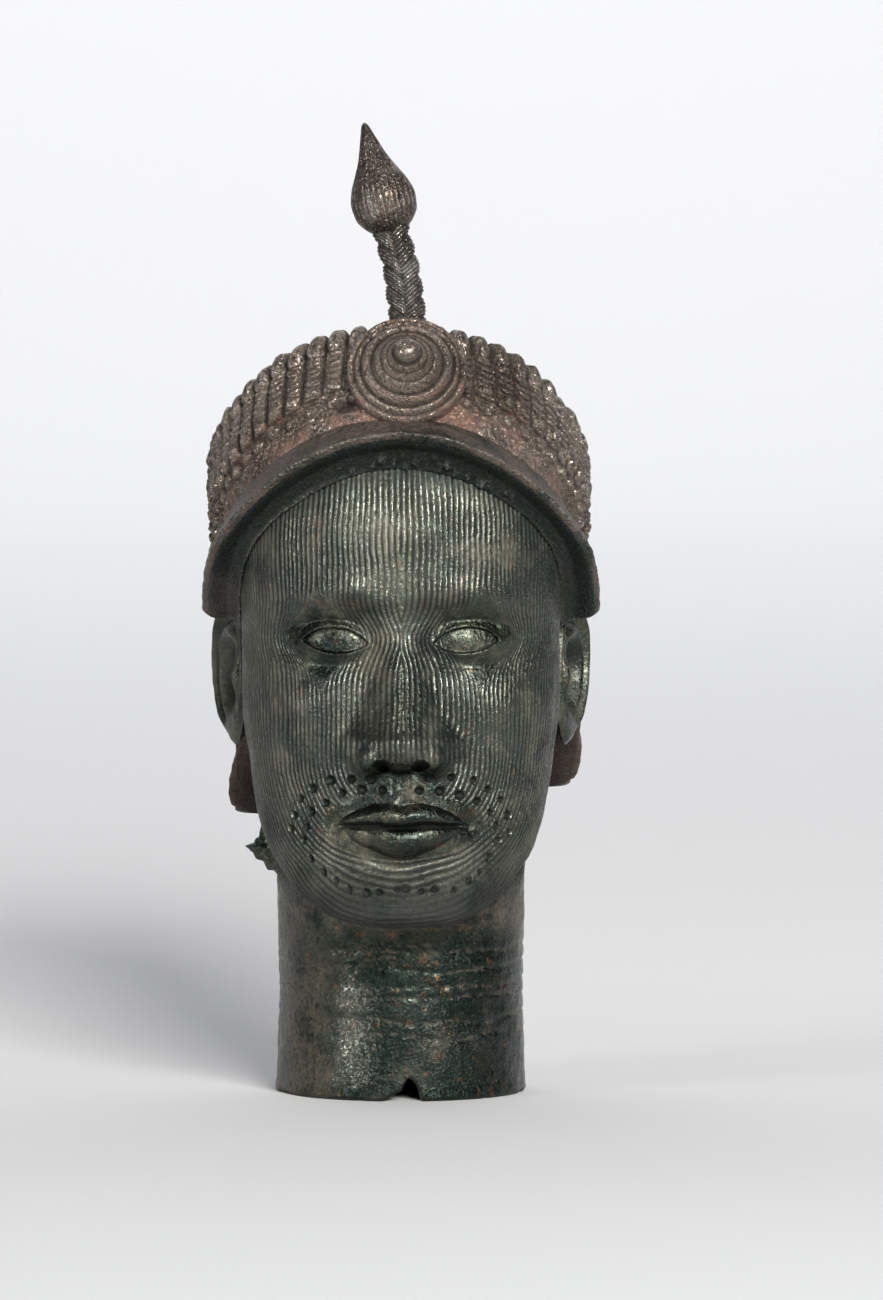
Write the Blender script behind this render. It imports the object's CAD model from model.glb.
"""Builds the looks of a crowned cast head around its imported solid, on a plain pale floor.

Every shape is a function of two parameters on a numpy grid. The functions work in millimetres
above the foot of the neck, with the face towards -Y, and put_surface turns them into metres.
"""
import math

import bpy
import numpy as np
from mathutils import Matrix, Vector


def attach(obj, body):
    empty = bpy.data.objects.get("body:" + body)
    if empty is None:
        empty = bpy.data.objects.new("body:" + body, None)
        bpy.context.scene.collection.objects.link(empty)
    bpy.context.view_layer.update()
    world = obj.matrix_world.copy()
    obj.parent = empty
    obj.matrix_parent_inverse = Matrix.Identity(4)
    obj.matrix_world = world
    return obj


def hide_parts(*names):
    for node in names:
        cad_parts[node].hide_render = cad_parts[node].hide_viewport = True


bl_info = {
    "name": "Crowned Cast Head",
    "version": (1, 0, 0),
    "blender": (4, 5, 0),
    "location": "3D View > Sidebar > Cast Head",
    "description": "Builds a crowned copper-alloy head with its patina, on a plain pale floor",
    "category": "Add Mesh",
}

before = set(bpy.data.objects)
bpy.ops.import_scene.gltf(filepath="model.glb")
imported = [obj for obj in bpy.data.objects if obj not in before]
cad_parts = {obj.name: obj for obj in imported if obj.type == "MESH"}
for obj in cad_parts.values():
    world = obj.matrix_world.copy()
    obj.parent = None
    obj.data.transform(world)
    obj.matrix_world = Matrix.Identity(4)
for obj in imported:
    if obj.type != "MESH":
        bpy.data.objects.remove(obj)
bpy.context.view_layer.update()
CAST = "crowned_head"

MM = 0.001
BOX_SHIFT_Y = 2.6
TWO_PI = 2 * math.pi

# Levels and sizes of the head, in millimetres.
CHIN_Z, MOUTH_Z, NOSE_BASE_Z, EYE_Z, BROW_Z, SKULL_TOP_Z = 60.0, 99.6, 119.4, 164.0, 178.8, 266.0
EYE_X, EYE_HALF = 23.0, 11.5
MOUTH_HALF = 22.0
JAW_RISE, JAW_FRONT_Y = math.radians(27.0), -66.0
NECK_Y, NECK_TOP_Z, FOOT_RADIUS = 6.0, 118.0, 44.4
HOLLOW_Y, HOLLOW_TOP_Z = 4.0, 262.0

HEAD_HALF_WIDTH = [(35, 33), (60, 41.5), (80, 47.5), (100, 51.8), (120, 54.8), (145, 57.6), (165, 57.6),
                   (185, 58.6), (205, 59.5), (228, 58), (250, 47), (270, 20)]
HEAD_FRONT = [(50, 52), (60, 66), (69, 74.2), (77, 73.4), (85, 70.2), (100, 71.5), (140, 71.2),
              (156, 71), (167, 73), (180, 76.4), (192, 77), (208, 76), (226, 72.5), (245, 63), (265, 40)]
HEAD_BACK = [(60, 50), (100, 62), (130, 73), (160, 78), (190, 77), (220, 68), (250, 45), (268, 20)]
NECK_HALF = [(0, 45.6), (8, 45.1), (40, 44.4), (70, 44.8), (100, 46.4), (140, 48)]
HOLLOW_SIDE = [(0, 38.8), (78, 39), (98, 41), (110, 45), (130, 51.5), (165, 53), (185, 56),
               (205, 57.5), (225, 56), (240, 50), (252, 41), (262, 22)]
HOLLOW_FRONT = [(0, 38.5), (74, 38.5), (82, 46), (88, 55), (94, 62), (102, 68), (125, 70), (140, 68),
                (150, 65), (160, 60.5), (170, 61.5), (178, 68), (190, 73.5), (208, 73.5), (226, 71),
                (240, 66), (252, 60), (262, 40)]
HOLLOW_BACK = [(0, 42), (112, 42), (122, 45), (130, 52), (141, 63), (155, 69), (165, 71), (185, 70),
               (210, 63), (235, 51), (250, 38), (262, 16)]
CROWN_FOOT_Z = [(-75, 240.5), (-72, 237.5), (-63.5, 229.5), (-49, 219), (-32, 208.5), (-15, 198),
                (2, 188), (20, 179), (31, 166), (37, 140), (43, 112), (47, 101), (53, 98), (66, 97)]
CROWN_TOP_Z = [(-54, 272.5), (-50, 268.5), (-45.6, 264.5), (-39, 258.5), (-29, 249.5), (-8, 235),
               (12, 220.5), (45, 203), (80, 186)]
CROWN_LEAN = [(0, 0.4), (0.1, 1.2), (0.44, 1.6), (0.5, 2.0), (0.94, 2.2), (1, 1.2)]
NAPE_TUCK = [(95, 2), (102, 3), (109, 4.7), (123, 6.8), (135, 6.8), (160, 0)]
CROWN_X, RIM_FLARE, NAPE_BREAK = -0.8, 10.0, 10.0
COLUMN_COUNT = 60
DOME_TOP_Z, DOME_RINGS, DOME_BEAD = 269.0, 11.0, 7.2
BRIM_HALF_WIDTH, BRIM_FRONT_Y, BRIM_EDGE, BRIM_SWEEP = 71.5, -88.0, 2.4, math.radians(92)
HAIRLINE_Z = [(0, 224.6), (10, 223), (20, 218.8), (30, 212.8), (40, 206.2), (50, 199.2), (60, 192),
              (70, 184), (80, 175.5), (92, 165)]
RIM_Z = [(0, 234.6), (10, 232.6), (20, 227.6), (30, 220.2), (40, 211.4), (50, 203.2), (60, 196.6),
         (72, 186.6), (92, 169)]
ROSETTE_AT, ROSETTE_RADIUS, ROSETTE_TILT = (2.1, -68.0, 258.9), 21.2, math.radians(28)
STEM_X = [(262, 4.5), (278, 2.5), (296, 0), (312, -4.4)]
STEM_Y = [(262, -50), (312, -47)]
PLUME_TIP_Z = 348.0
BUD_X, BUD_Y, BUD_HEIGHT, BUD_TILT, BUD_FACETS = -3.2, -47.1, 41.2, math.radians(14), 22
EAR_WIDTH, EAR_LOW_Z, EAR_TURN, EAR_FRONT_Y = 31.0, 125.0, math.radians(20), 3.0
NOTCH = [(-6.9, 0), (-4.5, 1.3), (-0.4, 3.4), (2.2, 7.6), (2.6, 8.2), (5.1, 6.5), (6.8, 3.6), (7.6, 0)]
TEAR = [(8, 99), (13, 103.5), (19, 101), (24, 105), (31, 102), (35, 95), (31, 90), (26, 86),
        (20, 88.5), (15, 85), (10, 91)]


def sizes():
    return bpy.context.scene.cast_head_sizes


def colours():
    return bpy.context.scene.cast_head_colours


# Arithmetic that the shapes share.

def soft_max(a, b, blend):
    """The larger of a and b, with their crossing rounded over the width blend."""
    h = np.clip(0.5 + 0.5 * (a - b) / blend, 0.0, 1.0)
    return b + (a - b) * h + blend * h * (1.0 - h)


def soft_min(a, b, blend):
    return -soft_max(-a, -b, blend)


def ease(x, start, end):
    """0 up to start, 1 from end on, and the cubic 3t^2 - 2t^3 between. It falls where end is lower."""
    t = np.clip((x - start) / (end - start), 0.0, 1.0)
    return t * t * (3.0 - 2.0 * t)


def bell(u, v=0.0):
    """exp(-(u^2 + v^2))."""
    return np.exp(-(u * u + v * v))


def through(knots, x):
    """A smooth curve through (x, value) knots that never overshoots them: monotone cubic pieces."""
    kx, kv = np.array(knots, float).T
    width = np.diff(kx)
    slope = np.diff(kv) / width
    tangent = np.zeros_like(kv)
    tangent[0], tangent[-1] = slope[0], slope[-1]
    a, b = slope[:-1], slope[1:]
    alike = a * b > 0
    tangent[1:-1] = np.where(alike, 2 * a * b / np.where(alike, a + b, 1.0), 0.0)
    x = np.clip(x, kx[0], kx[-1])
    i = np.clip(np.searchsorted(kx, x, side="right") - 1, 0, len(kx) - 2)
    t = (x - kx[i]) / width[i]
    start = (1 + 2 * t) * (1 - t) ** 2 * kv[i] + t * (1 - t) ** 2 * width[i] * tangent[i]
    end = t * t * (3 - 2 * t) * kv[i + 1] + t * t * (t - 1) * width[i] * tangent[i + 1]
    return start + end


def spaced(knots, count):
    """count positions whose spacing follows the (position, spacing) knots."""
    at, spacing = np.array(knots, float).T
    fine = np.linspace(at[0], at[-1], 3000)
    gap = np.interp(fine, at, spacing)
    steps = np.concatenate([[0], np.cumsum(0.5 * (1 / gap[1:] + 1 / gap[:-1]) * np.diff(fine))])
    return np.interp(np.linspace(0, 1, count), steps / steps[-1], fine)


def ripple(p, size, seed, waves=9):
    """Uneven swells between about -1 and 1: a sum of plane waves in seeded random directions."""
    rng = np.random.default_rng(seed)
    way = rng.normal(size=(waves, 3))
    way /= np.linalg.norm(way, axis=1, keepdims=True)
    way *= TWO_PI / (size * rng.uniform(0.7, 1.6, size=(waves, 1)))
    phase = rng.uniform(0, TWO_PI, waves)
    total = np.zeros(p.shape[:-1])
    for direction, start in zip(way, phase):
        total += np.sin(p @ direction + start)
    return total / math.sqrt(waves)


def oval(angle, side, front, back, corner=2.3):
    """Radius of an oval with shallow corners in the direction of angle, 0 being the front."""
    across = np.abs(np.sin(angle)) / side
    along = np.abs(np.cos(angle)) / np.where(np.cos(angle) > 0, front, back)
    return 1 / (across ** corner + along ** corner) ** (1 / corner)


def radial(angle):
    """The level unit vector that points outwards at an angle from the front."""
    return np.stack([np.sin(angle), -np.cos(angle), np.zeros_like(angle)], -1)


def full_turn(count):
    """Angles once round. The last is the first again, so that the seam closes."""
    angles = np.linspace(0, TWO_PI, count)
    angles[-1] = 0
    return angles


def closed(rows):
    """The rows with their first column again at the end."""
    return np.concatenate([rows, rows[:, :1]], 1)


def run_length(points):
    """The length along a line of points up to each of them."""
    return np.concatenate([[0], np.cumsum(np.linalg.norm(np.diff(points, axis=0), axis=1))])


def inside_outline(u, v, outline):
    """True where (u, v) is inside the closed outline: it crosses an odd number of its sides."""
    inside = np.zeros(np.shape(u), bool)
    ends = list(outline[1:]) + [outline[0]]
    for (u0, v0), (u1, v1) in zip(outline, ends):
        between = (v0 > v) != (v1 > v)
        crossing = u0 + (v - v0) * (u1 - u0) / (v1 - v0 if v1 != v0 else 1e-9)
        inside ^= between & (u < crossing)
    return inside


# Meshes.

def grid_triangles(columns, rows):
    """Two triangles for each cell of a grid of points."""
    index = np.arange(columns * rows).reshape(columns, rows)
    a, b, c, d = index[:-1, :-1], index[1:, :-1], index[1:, 1:], index[:-1, 1:]
    first = np.stack([a, b, c], -1).reshape(-1, 3)
    second = np.stack([a, c, d], -1).reshape(-1, 3)
    return np.concatenate([first, second])


def grid_normals(points, heart):
    """Unit normals of a grid: the cross product of its two directions, turned away from heart."""
    normal = np.cross(np.gradient(points, axis=0), np.gradient(points, axis=1))
    normal /= np.maximum(np.linalg.norm(normal, axis=-1, keepdims=True), 1e-12)
    outward = np.sum(normal * (points - heart)) >= 0
    return normal if outward else -normal


def put_object(name, data):
    made = bpy.data.objects.new(name, data)
    bpy.context.scene.collection.objects.link(made)
    return made


def put_surface(name, points, material, heart, keep=None, normals=None, groove=0.0, paint=0.0, wear=0.0):
    """Makes a piece from a grid of points in millimetres.

    Corners in one place are welded, so that seams and poles close, and cells with a corner outside
    keep are left out. The side away from heart is the outside. groove, paint and wear say how dirty,
    painted and polished each corner is, from 0 to 1.
    """
    flat = points.reshape(-1, 3)
    triangles = grid_triangles(*points.shape[:2])
    if keep is not None:
        triangles = triangles[keep.ravel()[triangles].all(axis=1)]
    used = np.unique(triangles)
    place, first, same = np.unique(np.round(flat[used], 4), axis=0, return_index=True,
                                   return_inverse=True)
    renumber = np.zeros(len(flat), int)
    renumber[used] = same.ravel()
    triangles = renumber[triangles]
    a, b, c = triangles.T
    triangles = triangles[(a != b) & (b != c) & (c != a)]
    arms = place - np.array(heart, float)
    turned = np.einsum("ij,ij->i", arms[triangles[:, 0]],
                       np.cross(arms[triangles[:, 1]], arms[triangles[:, 2]])).sum()
    if turned < 0:
        triangles = triangles[:, ::-1]
    mesh = bpy.data.meshes.new(name)
    mesh.vertices.add(len(place))
    shifted = (place + [0, BOX_SHIFT_Y, 0]) * MM
    mesh.vertices.foreach_set("co", shifted.astype(np.float32).ravel())
    mesh.loops.add(triangles.size)
    mesh.loops.foreach_set("vertex_index", np.ascontiguousarray(triangles, np.int32).ravel())
    mesh.polygons.add(len(triangles))
    mesh.polygons.foreach_set("loop_start", np.arange(0, triangles.size, 3, dtype=np.int32))
    mesh.polygons.foreach_set("use_smooth", np.ones(len(triangles), bool))
    mesh.update(calc_edges=True)
    mesh.validate()
    for label, mark in (("groove", groove), ("paint", paint), ("wear", wear)):
        values = np.clip(np.broadcast_to(mark, points.shape[:2]), 0, 1).reshape(-1)[used][first]
        mesh.attributes.new(label, "FLOAT", "POINT").data.foreach_set("value", values.astype(np.float32))
    if normals is not None:
        chosen = normals.reshape(-1, 3)[used][first]
        mesh.normals_split_custom_set_from_vertices(chosen.tolist())
    mesh.materials.append(material)
    piece = put_object(name, mesh)
    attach(piece, "root")
    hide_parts(CAST)


# The head and the face.

def head_body(x, y, z):
    """Below 0 inside the head: level oval sections, cut below by a jaw plane that rises backwards."""
    half = through(HEAD_HALF_WIDTH, z)
    depth = np.where(y < 0, through(HEAD_FRONT, z), through(HEAD_BACK, z))
    ring = (np.abs(x / half) ** 2.3 + np.abs(y / depth) ** 2.3 + 1e-9) ** (1 / 2.3)
    below = (CHIN_Z + (y - JAW_FRONT_Y) * math.tan(JAW_RISE) - z) * math.cos(JAW_RISE)
    return soft_max(soft_max(60 * (ring - 1), below, 13.0), z - SKULL_TOP_Z, 10.0)


def neck_body(x, y, z):
    """Below 0 inside the neck, a waisted tube, here a little inside its surface."""
    half = through(NECK_HALF, z) - 0.8
    ring = 44 * (np.sqrt((x / half) ** 2 + ((y - NECK_Y) / (half + 1.5)) ** 2 + 1e-9) - 1)
    return np.maximum(ring, z - NECK_TOP_Z)


def skin(x, y, z):
    """Head and neck with a soft crease between them."""
    return soft_min(head_body(x, y, z), neck_body(x, y, z), 6.0)


RAY_NEAR, RAY_FAR, RAY_HALVINGS = 8.0, 125.0, 26


def march(field, origin, direction):
    """Where each ray leaves the field, found by halving the stretch that holds the crossing."""
    low = np.full(direction.shape[:-1], RAY_NEAR)
    high = np.full(direction.shape[:-1], RAY_FAR)
    for _ in range(RAY_HALVINGS):
        middle = 0.5 * (low + high)
        p = origin + direction * middle[..., None]
        outside = field(p[..., 0], p[..., 1], p[..., 2]) > 0
        high = np.where(outside, middle, high)
        low = np.where(outside, low, middle)
    return origin + direction * (0.5 * (low + high))[..., None]


NOSE_RIDGE = [(100, 0), (108, 40), (113, 62), (117.5, 70.5), (119.2, 76), (120.5, 81.5), (122.5, 85.6),
              (126, 88.4), (129, 88.8), (133, 86.8), (141, 83), (151, 78.6), (159, 75.6), (167, 74),
              (176, 74.5), (184, 70), (200, 50)]
NOSE_ROUND = [(119, 7.5), (128, 7.5), (140, 6), (155, 5.5), (170, 8), (190, 9)]
NOSE_SLOPE = [(119, 1.25), (140, 1.35), (160, 1.3), (172, 0.9), (190, 0.6)]
NOSTRIL_X, WING_X = 6.6, 10.0
EYEBALL_RADIUS, LID_RADIUS, UPPER_LID, LOWER_LID = 12.6, 14.3, 5.1, 3.9
UPPER_LIP, LOWER_LIP = 8.0, 10.4
# Swells and hollows: how far forward, distance from the middle, half width, level, half height.
FACE_FORMS = [(-7.4, 20.5, 13.5, EYE_Z + 2, 9.5), (-2.0, 13.5, 4.5, EYE_Z + 1, 9), (3.0, 37, 13, 141, 12),
              (-1.8, 35, 13, 108, 14), (-1.6, 54, 10, 190, 16), (-2.4, 0, 17, 86.2, 4.2),
              (1.6, 0, 13, 70, 8)]


def with_eye(height, x, z):
    """A lid sphere over the socket, with an almond opening down to an eyeball sphere."""
    dx = np.abs(x) - EYE_X
    dz = z - EYE_Z - 0.055 * dx
    reach = (0.74 * dx) ** 2 + dz * dz
    ball = 53.6 - 0.2 * dx + np.sqrt(np.maximum(EYEBALL_RADIUS ** 2 - reach, 0))
    past = np.maximum(np.sqrt(reach) - LID_RADIUS, 0)
    lid = 53.4 - 0.2 * dx + np.sqrt(np.maximum(LID_RADIUS ** 2 - reach, 0)) - 5 * past
    almond = np.maximum(1 - np.abs(dx / EYE_HALF) ** 2.2, 0) ** 0.85
    gap = np.minimum.reduce([UPPER_LID * almond - dz, dz + LOWER_LID * almond, EYE_HALF - np.abs(dx)])
    crease = bell(dz - UPPER_LID * almond - 4) * ease(np.abs(dx), 13.5, 9)
    lid = lid + 0.55 * bell((gap + 0.7) / 0.9) - 0.9 * crease
    lidded = soft_max(height, lid, 1.2)
    return lidded + (np.minimum(ball, lidded) - lidded) * ease(gap, -0.15, 0.45)


def with_nose(height, x, z):
    """A ridge with rounded flanks, two wings as spheres, and two nostrils."""
    soft = through(NOSE_ROUND, z)
    bridge = through(NOSE_RIDGE, z) - through(NOSE_SLOPE, z) * (np.hypot(x, soft) - soft)
    wing = ((np.abs(x) - WING_X) / 5) ** 2 + ((z - NOSE_BASE_Z - 4.8) / 5.8) ** 2
    bulge = 8.6 * np.sqrt(np.maximum(1 - wing, 0)) - 9 * np.maximum(np.sqrt(wing) - 1, 0)
    joined = soft_max(height, soft_max(bridge, 74.5 + bulge, 1.6), 2.4)
    sill = z - NOSE_BASE_Z - 0.5 - 0.12 * np.abs(x)
    hole = np.clip(1.15 - ((np.abs(x) - NOSTRIL_X) / 3.1) ** 2 - (sill / 1.9) ** 2, 0, 1)
    return joined - 7.5 * hole ** 0.6


def lip(z, centre, half, plump):
    """Half an ellipse of height plump about centre, falling away beyond it."""
    off = np.abs(z - centre) / half
    return plump * np.sqrt(np.maximum(1 - off * off, 0)) - 3 * np.maximum(off - 1, 0)


def with_lips(height, x, z, base):
    """An upper and a lower lip that thin out to the corners, parted by a fine line."""
    ax = np.abs(x)
    philtrum = ease(z, 106.5, 109.5) * ease(z, 118.5, 115.5)
    height = height + philtrum * (0.55 * bell((ax - 3.9) / 1.6) - 0.9 * bell(x / 2.3))
    line = MOUTH_Z - 0.5 * bell(x / 7) + 0.35 * bell((ax - 9) / 5)
    full_top = np.clip(1 - (ax / MOUTH_HALF) ** 2, 0, 1)
    full_low = np.clip(1 - (ax / (MOUTH_HALF - 1.5)) ** 2, 0, 1)
    top = UPPER_LIP * full_top ** 0.62 * (1 - 0.13 * bell(x / 2.6))
    low = LOWER_LIP * full_low ** 0.66
    upper = base - 1.2 + lip(z, line + 0.46 * top, 0.56 * top + 0.02, 0.5 + 5.4 * full_top ** 0.7)
    lower = base - 1.4 + lip(z, line - 0.46 * low, 0.56 * low + 0.02, 0.4 + 6 * full_low ** 0.72)
    height = height - 1.3 * bell((ax - 23.6) / 2.6, (z - MOUTH_Z) / 3.2)
    within = ease(ax, 24, 22)
    height = height + (soft_max(height, upper, 0.7) - height) * within
    height = height + (soft_max(height, lower, 0.8) - height) * within
    return height - 2.6 * bell((z - line) / 0.75) * ease(ax, 22.5, 19.5)


def face_height(x, z, base):
    """How far the face stands forward over (x, z), where the plain head stands at base."""
    ax = np.abs(x)
    brow_line = BROW_Z + 2.2 - 0.012 * (ax - 20) ** 2
    height = base + 1.9 * bell((ax - 21) / 15, (z - brow_line) / 5)
    for forward, across, wide, level, tall in FACE_FORMS:
        height = height + forward * bell((ax - across) / wide, (z - level) / tall)
    return with_lips(with_nose(with_eye(height, x, z), x, z), x, z, base)


# The face is laid out in arc length s round the head and height w over the mouth. Above the mouth
# the grid's columns are upright, and below it they bend into half circles about it. The carved lines
# bend about a point LINE_CENTRE above the mouth, with bare skin up to BARE_SKIN from it, and start
# to stand farther apart WIDER_FROM the middle.
ARC_RADIUS, DIP_RADIUS = 57.0, 72.0
LINE_CENTRE, BARE_SKIN, WIDER_FROM = 22.0, 17.0, 35.0
JAW_OVERLAP = 6.0
JAW_CREASE = [(0, -44), (10, -43.6), (20, -42.5), (30, -40.5), (40, -37.7), (50, -34.1), (60, -29.6),
              (70, -24.1), (80, -17.6), (90, -10.6), (100, -3.8), (110, 0), (180, 12)]


def beard_holes():
    """Centres (s, w) of the pricked holes: two rows over the lip and round its corners, and one
    row on an arc under the lower lip."""
    rng = np.random.default_rng(11)
    inner = [(5.6, 12.4), (11.6, 12.6), (17.4, 11.2), (22.6, 8.4), (27.0, 4.6), (29.6, -0.6), (30.6, -6.4)]
    outer = [(8.4, 16.6), (14.6, 16.8), (20.8, 15.4), (26.4, 12.6), (31.0, 8.6), (34.4, 3.4), (36.4, -2.6)]
    turns = np.radians(np.linspace(4, 66, 7))
    reach = 20.4 + 12.4 * np.sin(turns) ** 1.5
    lower = list(zip(reach * np.sin(turns), -reach * np.cos(turns)))
    rows = ((inner, 1.3), (outer, 1.4), (lower, 1.15))
    one_side = [(place, radius) for row, radius in rows for place in row]
    holes = []
    for side in (1, -1):
        for (s, w), radius in one_side:
            shake = rng.uniform(-0.6, 0.6, 2)
            holes.append((side * (s + shake[0]), w + shake[1], radius * rng.uniform(0.8, 1.2)))
    return holes


def line_phase(s, w, z):
    """Distance that counts the carved lines, and 0 where the skin is bare. It runs across the
    forehead, parts round each eye as a stream parts round a stone, and lower down is the distance
    from the base of the nose."""
    dx = np.abs(s) - EYE_X
    spread = 10.5 * bell((z - EYE_Z - 1) / 10.5)
    beside = EYE_X + np.sign(dx) * np.sqrt(np.maximum(dx ** 2 - spread ** 2, 0))
    drop = np.minimum(w - LINE_CENTRE, 0)
    phase = np.where(drop < 0, np.hypot(s, drop), np.abs(beside))
    open_skin = 1 - ease(np.abs(dx), spread + 1.5, spread - 0.5) * ease(spread, 0.5, 2)
    open_skin = open_skin * np.where(drop < 0, ease(phase, BARE_SKIN - 4, BARE_SKIN), 1)
    phase = phase - 0.26 * np.maximum(phase - WIDER_FROM, 0)
    return phase, open_skin


def head_rays(angle, w):
    """Where rays from the head's middle line leave the skin, for each angle and height w over the
    mouth. They are level above the mouth and point down below it."""
    dip = np.minimum(w, 0) / DIP_RADIUS
    origin = np.stack([np.zeros_like(w), np.zeros_like(w), MOUTH_Z + np.maximum(w, 0)], -1)
    direction = radial(angle) * np.cos(dip)[..., None]
    direction[..., 2] = np.sin(dip)
    return march(skin, origin, direction)


HEAD_HEART = (0, 0, 130)


def make_face(material):
    """The face, from ear to ear and from under the crown to the neck.

    A point is where a ray from the middle line leaves the head, moved forward to face_height and
    then sunk by depth * cos^2(pi * phase / pitch) for the carved lines and by a cup for each hole.
    """
    pitch, depth = sizes().line_pitch / MM, sizes().line_depth / MM
    half = np.concatenate([np.arange(324) * pitch / 6, np.linspace(54 * pitch, 112, 46)])
    offset = np.concatenate([-half[:0:-1], half])
    upper = spaced([(0, 0.45), (8.4, 0.45), (13.4, 0.8), (17.4, 0.5), (24.4, 0.55), (32.4, 1.2),
                    (54.4, 1.0), (57.4, 0.45), (71.4, 0.45), (76.4, 1.2), (90.4, 2.0), (136.4, 2.2)], 182)
    swing = np.linspace(0, math.pi / 2, 61)[1:]
    s, w = np.meshgrid(offset, upper[::-1], indexing="ij")
    s = np.concatenate([s, offset[:, None] * np.cos(swing)], 1)
    w = np.concatenate([w, -np.abs(offset)[:, None] * np.sin(swing)], 1)
    angle = s / ARC_RADIUS
    p = head_rays(angle, w)
    x, y, z = p[..., 0], p[..., 1], p[..., 2]
    facing = ease(np.abs(x), 56, 50) * ease(y, -22, -30) * ease(z, 54, 62)
    p[..., 1] = y + facing * (-face_height(x, z, -y) - y)
    normal = grid_normals(p, HEAD_HEART)

    phase, open_skin = line_phase(s, w, z)
    lips = ease(np.hypot(s, (z - MOUTH_Z) * 2.0), MOUTH_HALF + 0.5, MOUTH_HALF + 3.5)
    nose_under = 1 - ease(np.abs(z - NOSE_BASE_Z), 2.2, 0.6) * ease(np.abs(s), 14, 12)
    carved = open_skin * lips * nose_under * ease(np.abs(s), 112, 106)
    waver = 0.3 * ripple(p, 26, 3) + 0.08 * ripple(p, 6, 7)
    line = np.cos(math.pi * (phase + waver) / pitch) ** 2
    line = line ** 1.5 * carved * (0.8 + 0.2 * ripple(p, 14, 4))
    sink = depth * line
    hole_mark = np.zeros_like(s)
    for hole_s, hole_w, radius in beard_holes():
        ring = np.hypot(s - hole_s, w - hole_w) / radius
        cup = np.sqrt(np.maximum(1 - ring ** 2, 0))
        sink = sink + 2.0 * cup - 0.18 * bell((ring - 1.25) / 0.25)
        hole_mark = np.maximum(hole_mark, ease(cup, 0.0, 0.5))
    sink = sink - 0.16 * ripple(p, 17, 5) + 0.05 * ripple(p, 2.6, 6)
    limit = through(JAW_CREASE, np.degrees(np.abs(angle)))
    past = np.where(w < 20, limit - w, -99.0)
    sink = sink + 1.4 * ease(past, 0, 4.5) + 0.8 * ease(np.abs(s), 106, 111)
    p = p - normal * sink[..., None]
    keep = past < JAW_OVERLAP
    mouth_line = bell((z - MOUTH_Z) / 0.9) * ease(np.abs(x), MOUTH_HALF, MOUTH_HALF - 2) * (y < -20)
    nostrils = bell((np.abs(x) - NOSTRIL_X) / 3.0, (z - NOSE_BASE_Z - 1) / 1.9) * (y < -50)
    below_brim = through(HAIRLINE_Z, np.degrees(np.abs(angle))) - z
    groove = np.maximum.reduce([
        line, hole_mark, 0.8 * ease(past, -4, 1), mouth_line, nostrils, 0.75 * ease(MOUTH_Z - z, 10, 28),
        0.6 * ease(below_brim, 11, 0) * (y < 0)])
    smooth_normal = grid_normals(p, HEAD_HEART)
    matte = np.maximum(0.75 * ease(s, -26, -58), 0.8 * ease(MOUTH_Z - z + 0.12 * s, 2, 24))
    polish = 0.3 * (1 - line) * carved * (1 - 0.85 * matte)
    middle = len(half) - 1
    for name, part in (("face_left", slice(0, middle + 1)), ("face_right", slice(middle, None))):
        put_surface(name, p[part], material, HEAD_HEART, keep=keep[part], normals=smooth_normal[part],
                    groove=groove[part], paint=matte[part], wear=polish[part])


def make_nape(material):
    """The back of the head behind the ears: rays from the middle line to the plain head, as a grid
    of angle and height, sunk a little where it slips under the face and the neck."""
    angle = np.radians(np.linspace(104, 256, 170))
    rows = np.concatenate([np.linspace(-26, -1, 26), np.linspace(0, 100, 70)])
    angle, w = np.meshgrid(angle, rows, indexing="ij")
    p = head_rays(angle, w)
    normal = grid_normals(p, HEAD_HEART)
    turn = np.degrees(np.minimum(angle, TWO_PI - angle))
    past = through(JAW_CREASE, turn) - w
    sink = 0.9 * ease(turn, 110, 105) + 1.4 * ease(past, 0, 4.5) - 0.16 * ripple(p, 17, 5)
    inside_crown = ease(p[..., 2] - through(CROWN_FOOT_Z, p[..., 1]), 5, 25)
    sink = sink + 13 * inside_crown * ease(turn, 112, 130)
    put_surface("nape", p - normal * sink[..., None], material, HEAD_HEART, keep=past < JAW_OVERLAP,
                groove=0.8 * ease(past, -4, 1))


# The neck and the inside.

def foot_height(angle):
    """Height of the neck's lower edge: the notch in front, and a chipped, uneven rim elsewhere."""
    x = FOOT_RADIUS * np.sin(angle)
    notch = through(NOTCH, x) * (np.cos(angle) > 0) * (np.abs(x - 0.3) < 7.3)
    around = radial(angle) * 44
    broad, small = ripple(around, 12, 21), ripple(around, 3.4, 22)
    chips = 0.75 * np.maximum(broad - 0.55, 0) + 0.5 * np.maximum(small - 0.8, 0)
    return np.minimum(notch + chips * 1.3, 9.0)


# Level and depth of the creases, the tongue's free border as (x, z), and y of its two faces.
RING_CREASES = [(52.8, 0.3), (47.1, 0.45), (41.0, 0.3), (36.8, 0.45), (28.6, 0.4), (22.9, 0.3)]
TONGUE = [(-40, 76.5), (-44.5, 77.2), (-46.6, 79.2), (-49, 79.6), (-50.4, 82.6), (-53, 83.4), (-54.4, 86),
          (-57.2, 88.2), (-53.8, 89.4), (-53.2, 91), (-51.9, 91.6), (-51.4, 95), (-50.4, 98.5), (-46, 99),
          (-40, 97)]
TONGUE_FACES = (8.6, 18.6)


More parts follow.
